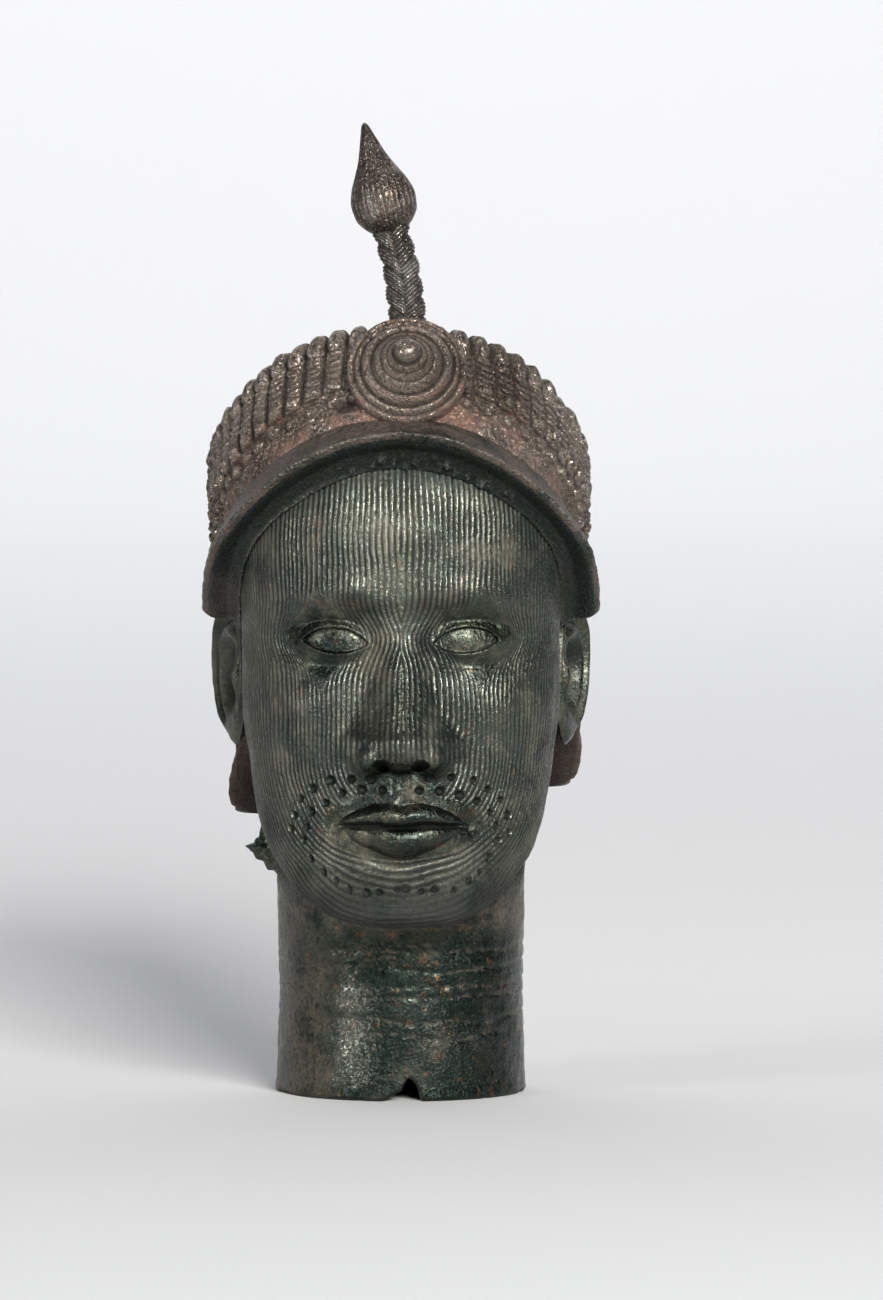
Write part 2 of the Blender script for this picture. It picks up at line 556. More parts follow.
def make_neck(material):
    """A tube from inside the head down to the foot, over its rim and up inside.

    The outside is the waisted section with shallow ring creases, stronger on one side. The inside is
    the hollow's own section, closed at its top. The tear is left out of both.
    """
    columns = full_turn(289)
    down = spaced([(0, 0.5), (4, 0.6), (20, 0.8), (56, 0.8), (62, 1.2), (106, 1.2), (NECK_TOP_Z, 2.5)], 132)
    up = spaced([(0, 0.6), (4, 1.5), (70, 5), (84, 1.6), (106, 1.6), (120, 5), (255, 6),
                 (HOLLOW_TOP_Z, 2)], 62)
    angle, down = np.meshgrid(columns, down[::-1], indexing="ij")
    foot = foot_height(angle)
    z = foot + down * (NECK_TOP_Z - foot) / NECK_TOP_Z
    half = through(NECK_HALF, z)
    outer = np.stack([half * np.sin(angle), NECK_Y - (half + 1.5) * np.cos(angle), z], -1)
    turn = np.where(angle > math.pi, angle - TWO_PI, angle)
    behind = ease(np.abs(turn), 1.8, 2.7)
    strong = 0.35 + 0.65 * ease(turn, -0.5, 0.6) * (1 - behind)
    relief = 0.22 * ripple(outer, 22, 31) + 0.09 * ripple(outer, 5, 32)
    creases = np.zeros_like(z)
    for level, cut in RING_CREASES:
        wander = level + 0.9 * ripple(outer * [1, 1, 0.05], 30, int(level)) + 0.4 * np.sin(3 * angle + level)
        crease = bell((z - wander) / 0.55)
        swell = bell((z - wander - 2.2) / 1.5)
        relief = relief - 1.3 * cut * strong * crease + 0.4 * strong * cut * swell
        creases = np.maximum(creases, strong * crease)
    relief = relief - 0.9 * ease(down, 1.6, 0) ** 2
    outer += radial(angle) * relief[..., None]

    angle, climb = np.meshgrid(columns, up, indexing="ij")
    foot = foot_height(angle)
    z_in = foot + climb * (HOLLOW_TOP_Z - foot) / HOLLOW_TOP_Z
    side, front, back = (through(wall, z_in) for wall in (HOLLOW_SIDE, HOLLOW_FRONT, HOLLOW_BACK))
    inner = radial(angle) * oval(angle, side, front, back, 2.1)[..., None]
    inner[..., 1] += HOLLOW_Y
    inner[..., 2] = z_in
    rough = 0.3 * ripple(inner, 9, 33) + 0.7 * ease(climb, 1.4, 0) ** 2
    inner += radial(angle) * rough[..., None]
    cap = np.broadcast_to(np.array([0, HOLLOW_Y, HOLLOW_TOP_Z]), (len(columns), 1, 3))
    p = np.concatenate([outer, inner, cap], 1)
    in_tear = inside_outline(p[..., 1], p[..., 2], TEAR) & (p[..., 0] < -30)

    x, fine = outer[..., 0], ripple(outer, 1.6, 34)
    groove = np.maximum.reduce([0.3 * creases, 0.5 * ease(z, 3, 0), 0.9 * ease(z, 70, 84)])
    dust = np.maximum.reduce([
        0.9 * creases * ease(ripple(outer, 4, 35) + 0.5 * fine, -0.8, 0.5),
        0.8 * bell((z - 66) / 7),
        0.6 * np.maximum(ease(turn, -0.5, -0.75), behind),
        0.7 * bell((x - 13) / 5, (z - 18.5) / 5),
        0.6 * bell((x - 3) / 6, (z - 10) / 3),
        0.8 * bell(x / 20, (z - 54) / 6) * ease(fine, 0.1, 0.5)])
    rubbed = 0.55 * bell((x + 17) / 7) * (turn < 0) * ease(z, 3, 8) * ease(z, 44, 38) \
        * (1 - 0.7 * bell((z - 31) / 2.2))
    inside = ((0, 0), (0, len(up) + 1))
    put_surface("neck", p, material, (0, NECK_Y, 60), keep=~in_tear,
                groove=np.pad(groove, inside, constant_values=0.75), paint=np.pad(dust, inside),
                wear=np.pad(rubbed, inside))


def make_torn_place(material):
    """The raw edge of the hole behind the jaw and the jagged tongue of metal bent out of it.

    The edge is a small oval section carried along the hole's outline. The tongue is a plate whose
    free border is a saw-toothed curve.
    """
    corners = np.array(TEAR + [TEAR[0]], float)
    along = run_length(corners)
    t = np.linspace(0, along[-1], 221)
    y, z = np.interp(t, along, corners[:, 0]), np.interp(t, along, corners[:, 1])
    half = through(NECK_HALF, z) - 2.2
    x = -half * np.sqrt(np.clip(1 - ((y - NECK_Y) / (half + 1.5)) ** 2, 0.05, 1))
    spine = np.stack([x, y, z], -1)
    spine[-1] = spine[0]
    section = np.linspace(0, TWO_PI, 25)
    outward = np.stack([x, y - NECK_Y, np.zeros_like(x)], -1)
    outward /= np.linalg.norm(outward, axis=1, keepdims=True)
    middle = spine.mean(0)
    away = spine - middle
    away -= outward * np.sum(away * outward, 1, keepdims=True)
    away /= np.linalg.norm(away, axis=1, keepdims=True)
    thick = (2.7 + 0.5 * ripple(spine, 4, 41))[:, None]
    wide = (1.0 + 0.25 * ripple(spine, 3, 42))[:, None]
    p = spine[:, None] + outward[:, None] * (thick * np.cos(section))[..., None] \
        + away[:, None] * (wide * np.sin(section))[..., None]
    p += (0.16 * ripple(p, 1.6, 43))[..., None] * outward[:, None]
    p[-1] = p[0]
    p[:, -1] = p[:, 0]
    put_surface("torn_edge", p, material, middle, groove=0.55)

    border = np.array(TONGUE, float)
    run = run_length(border)
    t = np.linspace(0, run[-1], 90)
    free = np.stack([np.interp(t, run, border[:, 0]), np.interp(t, run, border[:, 1])], -1)
    root = np.stack([np.full(90, -40.0), np.linspace(77, 97, 90)], -1)
    blend = np.linspace(0, 1, 16)
    flat = root[:, None] * (1 - blend)[:, None] + free[:, None] * blend[:, None]
    front = np.concatenate([flat, flat[:, ::-1]], 1)
    side = np.repeat(TONGUE_FACES, 16)
    pinch = np.concatenate([blend, blend[::-1]]) ** 4
    depth = side + (np.mean(TONGUE_FACES) - side) * 0.75 * pinch
    p = np.stack([front[..., 0], np.broadcast_to(depth, front.shape[:2]), front[..., 1]], -1)
    p = closed(p)
    p += (0.25 * ripple(p, 3, 44))[..., None] * np.array([0.5, 1, 0.4])
    p[:, -1] = p[:, 0]
    close = np.broadcast_to(p.mean(1, keepdims=True), p.shape)
    p = np.concatenate([close[:1], p, close[-1:]], 0)
    put_surface("torn_tongue", p, material, (-47, 12.7, 88), groove=0.25, paint=0.7)


# The ears.

def ear_lift(ring, turn):
    """Height of the ear over its plate: a raised rim, a furrow, an inner fold, a deep shell, a small
    flap in front of the shell and a plain lobe below."""
    front = ease(np.cos(turn), -0.2, -0.9)
    lobe = ease(np.sin(turn), -0.55, -0.9)
    rim = 2.6 * bell((ring - 0.9) / 0.085) * (1 - 0.55 * front) * (1 - lobe)
    fold = 1.9 * bell((ring - 0.6) / 0.1) * (1 - front) * (1 - 0.8 * lobe)
    furrow = -1.2 * bell((ring - 0.75) / 0.07) * (1 - lobe)
    shell = -4.6 * ease(ring, 0.55, 0.28) * (1 - 0.4 * lobe)
    flap = 2.8 * bell((ring - 0.55) / 0.17) * bell((np.sin(turn) + 0.1) / 0.45) * front
    pad = 1.3 * lobe * ease(ring, 0.4, 0.7) * ease(ring, 1.0, 0.8)
    return rim + fold + furrow + shell + flap + pad - 1.2 * ease(ring, 0.93, 1.0)


def make_ear(side, material):
    """An egg-shaped plate with ear_lift on its face, curled over its edge and back to a root."""
    height = BROW_Z - EAR_LOW_Z
    rings = np.concatenate([np.linspace(0, 1, 62), [0.985, 0.95, 0.88, 0.78, 0.64, 0.45, 0.2, 0]])
    turn, ring = np.meshgrid(full_turn(133), rings, indexing="ij")
    lift = ear_lift(ring, turn)
    lift[:, 62:] = [-1.2, -2.2, -3.4, -5.6, -9.0, -11.4, -12.0, -12.0]
    broad = 1 + 0.2 * np.sin(turn)
    p = EAR_WIDTH / 2 * (1 + ring * broad * np.cos(turn)) - (1 - ring) * 2
    q = height / 2 * ring * np.sin(turn) - (1 - ring) * 3
    lean = math.radians(8)
    outward = np.array([math.cos(EAR_TURN), -math.sin(EAR_TURN), 0])
    backward = np.array([math.sin(EAR_TURN), math.cos(EAR_TURN), 0])
    place = np.array([57.2, EAR_FRONT_Y, (BROW_Z + EAR_LOW_Z) / 2]) \
        + backward * (p * math.cos(lean) + q * math.sin(lean))[..., None] + outward * lift[..., None]
    place[..., 2] += q * math.cos(lean) - (p - EAR_WIDTH / 2) * math.sin(lean)
    place += (0.12 * ripple(place, 6, 50 + side))[..., None] * outward
    place[..., 0] *= side
    name = "ear_right" if side > 0 else "ear_left"
    dark = np.clip(-lift / 4.5, 0, 1) * (ring < 0.7)
    put_surface(name, place, material, (side * 62, 15, 149),
                groove=dark, paint=0.3 if side > 0 else 0.75)


def make_ears(material):
    for side in (-1, 1):
        make_ear(side, material)


# The crown.

def crown_foot(angle):
    """The crown's lower line: an oval whose height falls from the forehead to the nape, where one
    side has broken off higher than the other."""
    r = oval(angle, 63.7, 77, 62, np.where(np.cos(angle) > 0, 2.3, 3.4))
    x, y = CROWN_X + r * np.sin(angle), 2 - r * np.cos(angle)
    return np.stack([x, y, through(CROWN_FOOT_Z, y) + NAPE_BREAK * ease(x, 20, 45) * ease(y, 38, 44)], -1)


def crown_top(angle):
    """The crown's upper line, an oval that leans back with the crown."""
    r = oval(angle, 63.7, 66, 68)
    y = 12 - r * np.cos(angle)
    return np.stack([CROWN_X + r * np.sin(angle), y, through(CROWN_TOP_Z, y)], -1)


def dome(u, v, radius):
    """A round boss of the given radius at the middle of (u, v), 1 at its top."""
    return np.sqrt(np.maximum(1 - (u * u + v * v) / radius ** 2, 0))


# Distances down a column from its top, and the length of the wall that they are given for.
KNOB_AT, BOSS_AT, STEP_AT, SMALL_BOSS_AT, STRIP_AT = 2.1, 17.2, 20.0, 24.0, 30.6
WALL_LENGTH = 36.0


def crown_relief(angle, s, length):
    """Relief of the crown at distance s below its top edge, and the marks that go with it.

    Each column is a half-round bar. From the top it has a pitted knob, a plain tube, a stack of cross
    rings and a round boss, then a lower tier with a smaller boss and rows of lumps, then a plain
    strip. Down the nape the bars run on plainly, with a band of rings at each span.
    """
    rng = np.random.default_rng(5)
    slot = angle * COLUMN_COUNT / TWO_PI
    number = np.floor(slot + 0.5).astype(int)
    u = (slot - number) / 0.42
    number = number % COLUMN_COUNT
    drop = rng.uniform(-0.6, 0.8, COLUMN_COUNT)[number]
    stout = rng.uniform(0.85, 1.1, COLUMN_COUNT)[number]
    worn = np.clip(rng.normal(0.1, 0.2, COLUMN_COUNT), 0, 1)
    one_side = (np.arange(COLUMN_COUNT) > 40) & (np.arange(COLUMN_COUNT) < 58)
    crisp = 1 - 0.75 * np.where(one_side, np.clip(worn + 0.5, 0, 0.85), worn)[number]
    t = s - drop
    w = 3.4 * u
    bar = np.sqrt(np.maximum(1 - u * u, 0))
    pit = bell(w / 0.8, (t - KNOB_AT + 0.3) / 0.8)
    to_boss, to_small = np.hypot(w, t - BOSS_AT), np.hypot(w, t - SMALL_BOSS_AT)
    knob = 3.3 * np.sqrt(np.maximum(1 - u * u - ((t - KNOB_AT) / 2.7) ** 2, 0)) - 0.8 * pit
    tube = 2.6 * bar * stout - 0.22 * bar * np.sin(math.pi * (t - 4) / 1.1) ** 2
    stack = np.abs(np.sin(math.pi * (t + 0.9 * u * u - 5.6) / 2.3)) ** 1.3
    rings = (1.3 + 1.6 * crisp * stack) * bar ** 0.7
    boss = 1.5 * bar + crisp * (2.0 * dome(to_boss, 0, 2.1) - 0.6 * bell((to_boss - 2.5) / 0.4))
    lumps = np.sin(math.pi * (t - 26.3) / 2.3) ** 2 * np.cos(math.pi * u * 0.75) ** 2 * ease(t, 26.4, 26.8)
    low = 0.25 * bar + (0.4 + 0.6 * crisp) * (3.0 * dome(to_small, 0, 2.4) + 1.1 * lumps)
    relief = np.maximum(knob, 0)
    for form, start, end in ((tube, 4.0, 4.6), (rings, 5.4, 6.0), (boss, 14.6, 15.0),
                             (low, STEP_AT - 0.4, STEP_AT + 0.4)):
        relief = relief + (form - relief) * ease(t, start, end)
    strip = ease(s, STRIP_AT, STRIP_AT + 1)
    relief = relief * (1 - strip)
    fillet = bell((1.19 - np.abs(u)) / 0.1) * ease(t, 4, 6) * ease(t, 20, 18) * crisp
    beads = dome(3.4 * (1.19 - np.abs(u)), (t - 22.4) % 4.6 - 2.3, 1.2) * ease(t, 20, 21) * (1 - strip)
    relief = relief + 0.4 * fillet + 0.9 * beads * crisp
    nape = ease(length, 44, 54)
    band = 0.6 * np.sin(math.pi * s / 1.9) ** 2 * ease(np.abs((s / 15 + 0.35) % 1 - 0.5), 0.2, 0.24)
    plain = (1.7 + band) * bar * ease(s, 0, 1.5)
    relief = relief + (np.maximum(plain, relief * (s < 21)) - relief) * nape
    side_angle = (angle + math.pi) % TWO_PI - math.pi
    cavity = bell((side_angle + 0.25) / 0.075, (t - 27) / 3.2)
    relief = relief - 2.4 * cavity + 1.6 * bell((side_angle - 1.62) / 0.035, (t - 15) / 2.4)
    front = 1 - nape
    between = np.clip(1.1 - 1.6 * bar - fillet, 0, 1) * (1 - strip) * (1 - 0.8 * ease(t, 19.8, 21) * front)
    groove = np.maximum.reduce([
        between,
        0.8 * bell((t - 20.6) / 0.5) * bar * front,
        0.3 * bell((t - STEP_AT) / 0.7) * front,
        0.7 * bell((to_small - 2.7) / 0.5) * front,
        0.95 * crisp * (1 - stack) ** 1.5 * ease(t, 5.4, 6) * ease(t, 15, 14.6),
        0.9 * pit,
        cavity])
    wear = 0.5 * np.clip(relief / 2.7, 0, 1) ** 1.6 * (1 - strip)
    tier = 1.2 * ease(t, STEP_AT + 0.8, STEP_AT)
    return relief + tier, groove, wear, bar


def tuck(points):
    """Moves the broken side of the nape inwards, in place."""
    points[..., 0] += through(NAPE_TUCK, points[..., 2]) * ease(points[..., 0], -30, -55)


def make_crown(material):
    """The crown's wall as one sheet: up the inside, over the knobs, down the columns and under.

    A point is on the line from crown_foot to crown_top, moved outwards by a lean and crown_relief.
    """
    fine = np.radians(np.arange(-100, 100, 6 / 16))
    plain = np.radians(np.linspace(100, 260, 200))
    angle = np.concatenate([fine, plain])
    angle[-1] = angle[0]
    share = spaced([(0, 0.3), (4.5, 0.35), (5, 0.26), (15.5, 0.26), (17, 0.34), (31, 0.4), (32, 0.8),
                    (WALL_LENGTH, 0.9)], 112) / WALL_LENGTH
    foot, top = crown_foot(angle), crown_top(angle)
    length = np.linalg.norm(top - foot, axis=-1)
    out = radial(angle)
    s_real = length[:, None] * share
    s_even = s_real * WALL_LENGTH / np.clip(length, 28, 44)[:, None]
    grid_angle = np.repeat(angle[:, None], len(share), 1)
    relief, groove, wear, bar = crown_relief(grid_angle, s_even, length[:, None])
    up = 1 - share
    lean = through(CROWN_LEAN, np.broadcast_to(up, s_real.shape))
    wall = foot[:, None] + (top - foot)[:, None] * up[None, :, None]
    flare = RIM_FLARE * ease(foot[:, 1], 30, 44)[:, None] * ease(up, 0.3, 0)
    wall = wall + out[:, None] * (lean + relief * sizes().column_relief / 2.4 / MM + flare)[..., None]
    rough = 0.2 * ripple(wall, 2.3, 61) + 0.3 * ripple(wall, 7, 62) + 0.12 * ripple(wall, 1.3, 64)
    wall = wall + out[:, None] * rough[..., None]
    wall[..., 2] += 3.4 * bar * bell(s_real / 2.4)
    tuck(wall)
    inset, lift = np.array([(8.4, -7.0), (7.6, -3.4), (6.2, -0.9), (4.6, 0.4), (3.0, 0.9), (1.6, 0.7),
                            (0.5, 0.3)]).T
    inside = top[:, None] - out[:, None] * (inset - 1.2)[None, :, None]
    inside[..., 2] += lift + 3.4 * bar[:, :1] * ease(inset, 6.5, 0.5)
    rim = foot[:, None] + out[:, None] * (flare[:, -1:] - [1.5, 4.0])[..., None]
    tuck(rim)
    to_middle = np.array([0, 12, 190]) - rim[:, 1:]
    hem = np.concatenate([rim] + [rim[:, 1:] + to_middle * part for part in (0.08, 0.2, 0.35)], 1)
    p = np.concatenate([inside, wall, hem], 1)
    front = bell(((grid_angle + math.pi) % TWO_PI - math.pi) / 1.0)
    patch = ripple(wall, 13, 63)
    low_tier = ease(s_even, 15, 22) * (1 - 0.5 * ease(s_even, 33, 37))
    paint = (0.15 + 0.85 * low_tier) * front * ease(patch, -0.8, 0.5)
    paint = paint * (1 - np.clip(1.5 * wear, 0, 0.9))
    groove = np.maximum(groove, ease(wall[..., 2], 160, 130) * np.where(wall[..., 0] < 0, 0.55, 0.25))
    pad = ((0, 0), (inside.shape[1], hem.shape[1]))
    put_surface("crown", p, material, (0, 8, 190),
                groove=np.pad(groove, pad, constant_values=0.8), paint=np.pad(paint, pad),
                wear=np.pad(wear, pad))


def make_dome(material):
    """The top inside the columns: a leaning half oval, covered with rings of round beads.

    Ring k has as many beads as fit in its length, and each bead is a low boss.
    """
    turns = np.concatenate([np.linspace(0, 0.985, 88), [1.0]]) * math.pi / 2
    angle, turn = np.meshgrid(full_turn(301), turns, indexing="ij")
    top = crown_top(angle)
    spread = 0.95 * np.cos(turn)
    p = np.stack([top[..., 0] * spread, top[..., 1] * spread,
                  top[..., 2] - 3 + (DOME_TOP_Z + 3 - top[..., 2]) * np.sin(turn)], -1)
    ring = turn / (math.pi / 2) * DOME_RINGS
    number = np.floor(ring)
    round_ring = TWO_PI * 63 * np.cos((number + 0.5) / DOME_RINGS * math.pi / 2)
    beads = np.maximum(np.round(round_ring / DOME_BEAD), 5)
    u = (angle * beads / TWO_PI + 0.5 * number) % 1 - 0.5
    v = ring - number - 0.5
    bead = dome(u, v, 0.46)
    normal = grid_normals(p, (0, 10, 150))
    high = 1.5 * bead * ease(turn, 1.5, 1.38) + 0.14 * ripple(p, 5, 71)
    p = p + normal * high[..., None]
    p[:, -1, :2] = p[:, -1, :2].mean(axis=0)
    p[:, -1, 2] = DOME_TOP_Z
    put_surface("dome", p, material, (0, 10, 150), groove=0.8 * ease(bead, 0.6, 0), wear=bead)


def brim_sections(angle):
    """Corners of the brim's section at each angle: hairline, hollow underside, rim and crown foot."""
    out = radial(angle)
    turn = np.degrees(np.abs(angle))
    origin = np.stack([np.zeros_like(angle), np.zeros_like(angle), through(HAIRLINE_Z, turn)], -1)
    inner = march(head_body, origin, out)
    r = oval(angle, BRIM_HALF_WIDTH, -BRIM_FRONT_Y - 3, 60)
    outer = np.stack([r * np.sin(angle), -3 - r * np.cos(angle), through(RIM_Z, turn)], -1)
    foot = crown_foot(angle) + [0, 0, 1.3]
    hollow = 0.5 * (inner + outer) - out * 1.6 + [0, 0, 2.0]
    near_rim = 0.2 * inner + 0.8 * outer - out * 0.4 + [0, 0, 0.5]
    lip_top = outer + out * 0.9 + [0, 0, BRIM_EDGE]
    outer = outer - out * 1.6 + [0, 0, 0.2]
    back = 0.45 * lip_top + 0.55 * foot + [0, 0, 0.5]
    return np.stack([inner - out * 4, inner, hollow, near_rim, outer, lip_top, back, foot + out * 1.5,
                     foot - out * 7], -2)


def make_brim(material):
    """The plain brim: its section, with rounded corners, carried round the forehead.

    The corners are rounded by averaging each point of the section with its neighbours.
    """
    along = np.linspace(-1, 1, 321)
    sections = closed(brim_sections(along * BRIM_SWEEP))
    run = np.mean([run_length(section) for section in sections], axis=0)
    share = run / run[-1]
    at = np.linspace(0, 1, 97)[:-1]
    ring = np.stack([np.stack([np.interp(at, share, line) for line in section.T], -1)
                     for section in sections])
    for _ in range(2):
        ring = 0.25 * np.roll(ring, 1, 1) + 0.5 * ring + 0.25 * np.roll(ring, -1, 1)
    middle = ring.mean(1, keepdims=True)
    tip = np.maximum(np.abs(along) - 0.95, 0) / 0.05
    ring = middle + (ring - middle) * np.sqrt(np.maximum(1 - tip * tip, 0))[:, None, None]
    out = radial(along * BRIM_SWEEP)[:, None]
    rough = 0.14 * ripple(ring, 9, 81) + 0.07 * ripple(ring, 2.6, 82)
    hairline, edge = share[1], share[4]
    along = along[:, None]
    underside = ease(at, hairline, hairline + 0.02) * ease(at, edge - 0.005, edge - 0.02)
    near_hair = underside * ease(at, hairline + 0.12, hairline + 0.05) * bell((along - 0.12) / 0.34)
    tufts = near_hair * np.maximum(ripple(ring * [1, 0.4, 0.4], 1.9, 83), 0)
    cord = bell((at - hairline - 0.012) / 0.014) * (0.35 + 0.65 * ease(along, -0.1, -0.35))
    down = np.array([0, -0.7, -0.7])
    ring = ring + out * rough[..., None] + down * (1.2 * tufts + 1.1 * cord)[..., None]
    above = ease(at, edge - 0.004, edge + 0.012) * ease(at, 0.98, 0.95)
    paint = np.maximum(np.maximum(above, 0.6 * cord), 0.5 * ease(along, -0.7, -0.85))
    rim = bell((at - share[5] + 0.006) / 0.012)
    wear = 0.6 * np.maximum(rim, 0.6 * np.maximum(tufts, cord))
    groove = np.clip(0.35 * underside * (1 - cord) + 0.5 * near_hair * (tufts < 0.3), 0, 1)
    put_surface("brim", closed(ring), material, (0, -40, 215),
                groove=closed(groove), paint=closed(paint), wear=closed(wear))


# The rosette and the plume.

ROSETTE_PROFILE = [(0, -12), (0.8, -12), (0.97, -6), (1.0, 0.2), (0.99, 1.6), (0.955, 2.3), (0.91, 2.0),
                   (0.89, 1.4), (0.875, 2.4), (0.85, 3.9), (0.81, 4.1), (0.785, 3.2), (0.765, 3.1),
                   (0.75, 4.6), (0.715, 6.3), (0.665, 6.9), (0.625, 6.3), (0.6, 5.5), (0.575, 5.6),
                   (0.545, 7.2), (0.5, 8.6), (0.46, 9.0), (0.435, 8.6), (0.42, 9.3), (0.39, 10.4),
                   (0.35, 10.8), (0.33, 10.5), (0.31, 11.4), (0.27, 12.2), (0.235, 12.2), (0.22, 12.9),
                   (0.215, 14.6), (0.19, 16.2), (0.13, 17.4), (0.06, 17.9), (0, 18.0)]
# Rows of beads: strength, twice as many as count, start, and radius and width as shares of the whole.
ROSETTE_BEADS = [(1, 36, 0, 0.955, 0.03), (0.8, 29, 0, 0.83, 0.03), (0.55, 24, 0, 0.675, 0.04),
                 (0.5, 15, 1, 0.47, 0.035), (0.4, 11, 0, 0.37, 0.03)]
ROSETTE_HOLLOWS = [(0.893, 0.018), (0.775, 0.022), (0.595, 0.03), (0.438, 0.018), (0.335, 0.016),
                   (0.235, 0.02)]
ROSETTE_CRESTS = [(0.84, 0.018), (0.655, 0.025), (0.455, 0.02)]


def bands(radius, places):
    """The sum of a bell about each (radius, width) of places."""
    return sum(bell((radius - at) / width) for at, width in places)


def make_rosette(material):
    """A stepped cone of rings turned about a tilted axis, with nicks across its rings.

    Radius and height follow ROSETTE_PROFILE, and the height of a ring ripples as beads round it.
    """
    profile = np.array(ROSETTE_PROFILE)
    run = run_length(profile * [ROSETTE_RADIUS, 1])
    t = np.linspace(0, run[-1], 128)
    r, h = (np.interp(t, run, values) for values in profile.T)
    for _ in range(2):
        for line in (r, h):
            line[1:-1] = 0.25 * line[:-2] + 0.5 * line[1:-1] + 0.25 * line[2:]
    angle, radius = np.meshgrid(full_turn(289), r, indexing="ij")
    beads = sum(strength * np.cos(count * angle + start) ** 2 * bell((radius - at) / width)
                for strength, count, start, at, width in ROSETTE_BEADS)
    height = h + np.where(h > 0.5, 0.55 * (beads - 0.5 * (beads > 0.02)), 0)
    reach = radius * ROSETTE_RADIUS
    local = np.stack([reach * np.sin(angle), reach * np.cos(angle), height], -1)
    knob = ease(height, 13, 15)
    grain = 0.13 * ripple(local, 3, 91) + 0.1 * ripple(local, 1.2, 92)
    local[..., 2] += (1 - knob) * grain * (radius > 0.01)
    sine, cosine = math.sin(ROSETTE_TILT), math.cos(ROSETTE_TILT)
    p = np.array(ROSETTE_AT) + local @ np.array([[1, 0, 0], [0, sine, cosine], [0, -cosine, sine]])
    steep = np.abs(np.gradient(h, t)) > 0.8
    hollow = np.clip(bands(r, ROSETTE_HOLLOWS) * (h > 0.5) + 0.2 * steep * (h > 1), 0, 1)
    below_knob = bell((radius - 0.3) / 0.09) * ease(np.cos(angle), 0.1, -0.7)
    inner = ease(radius, 0.74, 0.62)
    groove = np.maximum(hollow, (1 - knob) * np.maximum(0.55 * below_knob, 0.42 * inner))
    paint = (0.2 + 0.5 * ease(ripple(p, 9, 93), 0.0, 0.9)) * (1 - groove) * (1 - knob)
    raised = (0.35 * beads + 0.5 * bands(radius, ROSETTE_CRESTS)) * (1 - hollow)
    put_surface("rosette", p, material, (2.1, -68, 261.5),
                groove=groove, paint=paint, wear=np.maximum(0.25 * knob, raised))


def make_stem(material):
    """The plaited stem: a leaning tube with a lobe for each strand and chevron lines on the lobes.

    The chevron phase is height less a share of the distance from the middle, and the strands of one
    side stand half a strand higher than those of the other.
    """
    lobe_pitch, hair_pitch = 7.4, 1.4
    angle, z = np.meshgrid(full_turn(121), np.linspace(260, 314, 190), indexing="ij")
    across = np.sin(angle)
    v = z - 5.2 * np.abs(across)
    half_step = np.where(across > 0, 0, 0.5 * lobe_pitch)
    cycle = ((v + half_step) / lobe_pitch) % 1
    lobe = np.sqrt(np.maximum(1 - (2 * cycle - 1) ** 2, 0))
    parting = bell(across / 0.16)
    lobe = lobe * (1 - 0.75 * parting)
    waver = 0.15 * ripple(np.stack([across, z, z], -1), 9, 95)
    hairs = np.cos(math.pi * (v + waver) / hair_pitch) ** 2
    r = 5.3 + 1.5 * lobe + 0.45 * (hairs - 0.5) * (1 - parting)
    r = r + 0.6 * bell((z - 312) / 2)
    p = np.stack([through(STEM_X, z) + r * across, through(STEM_Y, z) - 0.9 * r * np.cos(angle), z], -1)
    p = p + radial(angle) * (0.12 * ripple(p, 4, 96))[..., None]
    first, last = (np.broadcast_to(end.mean(0), end.shape) for end in (p[:, :1], p[:, -1:]))
    p = np.concatenate([first, p, last], 1)
    groove = np.clip(0.8 - 1.8 * lobe, 0, 1) + 0.75 * (1 - hairs)
    ends = ((0, 0), (1, 1))
    put_surface("plume_stem", p, material, (0, -48, 288), groove=np.pad(groove, ends, mode="edge"),
                wear=np.pad(lobe * hairs, ends, mode="edge"))


def make_bud(material):
    """The pointed bud: a turned profile with faint upright facets and fine nicks, leaning on the stem."""
    profile = [(0, 0), (0.6, 4.3), (2.0, 6.6), (4.5, 9.2), (8, 11.2), (13, 11.7), (18, 10.4), (23, 7.9),
               (28, 5.4), (33, 3.6), (37.5, 2.1), (40, 1.2), (BUD_HEIGHT, 0)]
    rise = spaced([(0, 0.3), (3, 0.7), (36, 0.8), (BUD_HEIGHT, 0.25)], 84)
    angle, rise = np.meshgrid(full_turn(121), rise, indexing="ij")
    r = through(profile, rise)
    facet = np.random.default_rng(8).uniform(-0.28, 0.28, BUD_FACETS)
    place = angle / TWO_PI * BUD_FACETS
    uneven = np.interp(place, np.arange(BUD_FACETS + 1), np.append(facet, facet[0]))
    nicks = np.cos(math.pi * place * 1.5) ** 6
    body = ease(rise, 1, 5) * ease(rise, 39, 30)
    r = r + body * (uneven - 0.45 * nicks)
    sine, cosine = math.sin(BUD_TILT), math.cos(BUD_TILT)
    across = r * np.sin(angle)
    foot_z = PLUME_TIP_Z - 0.1 - BUD_HEIGHT * cosine
    p = np.stack([BUD_X + across * cosine - rise * sine, BUD_Y - r * np.cos(angle),
                  foot_z + across * sine + rise * cosine], -1)
    put_surface("plume_bud", p, material, (-8, BUD_Y, 325),
                groove=0.7 * nicks * body, wear=0.35 * (1 - nicks) * body + 0.1)


# Materials.

